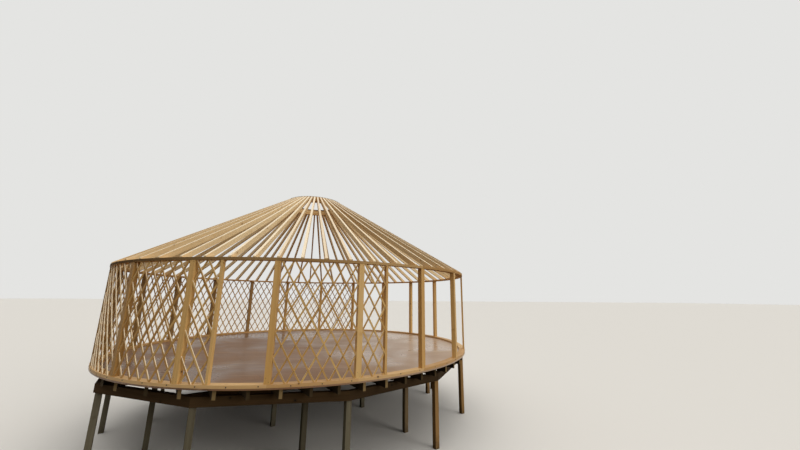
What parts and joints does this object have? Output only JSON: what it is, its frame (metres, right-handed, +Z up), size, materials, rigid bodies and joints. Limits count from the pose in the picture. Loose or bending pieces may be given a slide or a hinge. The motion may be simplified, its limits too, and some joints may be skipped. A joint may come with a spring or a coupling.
{
  "type": "round timber yurt frame on a raised deck",
  "caption": "Open timber frame of a round yurt: lattice wall panels, posts, curved plates and straight rafters rising to a crown ring, on a round deck with joists, bearers and stumps.",
  "frame": {"origin": "centre of the round deck in plan, at the level of the lowest ground, where the stumps end", "axes": "+Z up along the axis of the roof; -Y towards the front doorway; +X to the right of someone who faces that doorway from outside"},
  "size_m": [8.5, 8.4999, 5.489],
  "materials": {
    "floor_sheet": "damp resin-faced sheet",
    "plate_pine": "planed, uncoated",
    "post_pine": "planed, uncoated",
    "lath_pine": "sawn, uncoated",
    "rafter_pine": "planed, uncoated",
    "joist_timber": "sawn, preservative treated",
    "bearer_timber": "sawn, preservative treated",
    "stump_timber": "sawn, weathered grey",
    "dark_steel": "matt dark paint"
  },
  "bodies": {
    "root": {"deck_floor": "floor_sheet", "bottom_plate_right_front": "plate_pine", "bottom_plate_right_back": "plate_pine", "bottom_plate_left_back": "plate_pine", "bottom_plate_left_front": "plate_pine", "top_plate_right_front": "plate_pine", "top_plate_right_back": "plate_pine", "top_plate_left_back": "plate_pine", "top_plate_left_front": "plate_pine", "door_posts": "post_pine", "right_posts": "post_pine", "back_posts": "post_pine", "left_posts": "post_pine", "lattice_front": "lath_pine", "lattice_front_half": "lath_pine", "lattice_entry_half": "lath_pine", "lattice_left_1": "lath_pine", "lattice_left_2": "lath_pine", "lattice_left_3": "lath_pine", "lattice_left_4": "lath_pine", "lattice_left_5": "lath_pine", "lattice_back_1": "lath_pine", "lattice_back_2": "lath_pine", "lattice_back_3": "lath_pine", "lattice_back_4": "lath_pine", "lattice_back_5": "lath_pine", "rafters_right_front": "rafter_pine", "rafters_right_back": "rafter_pine", "rafters_left_back": "rafter_pine", "rafters_left_front": "rafter_pine", "crown_ring": "rafter_pine", "crown_plate": "dark_steel", "joists_left": "joist_timber", "joists_middle": "joist_timber", "joists_right": "joist_timber", "ring_bearers_right": "bearer_timber", "ring_bearers_left": "bearer_timber", "ring_bearers_corner": "bearer_timber", "inner_bearers": "bearer_timber", "outer_stumps": "stump_timber", "inner_stumps": "stump_timber"}
  },
  "joints": []
}
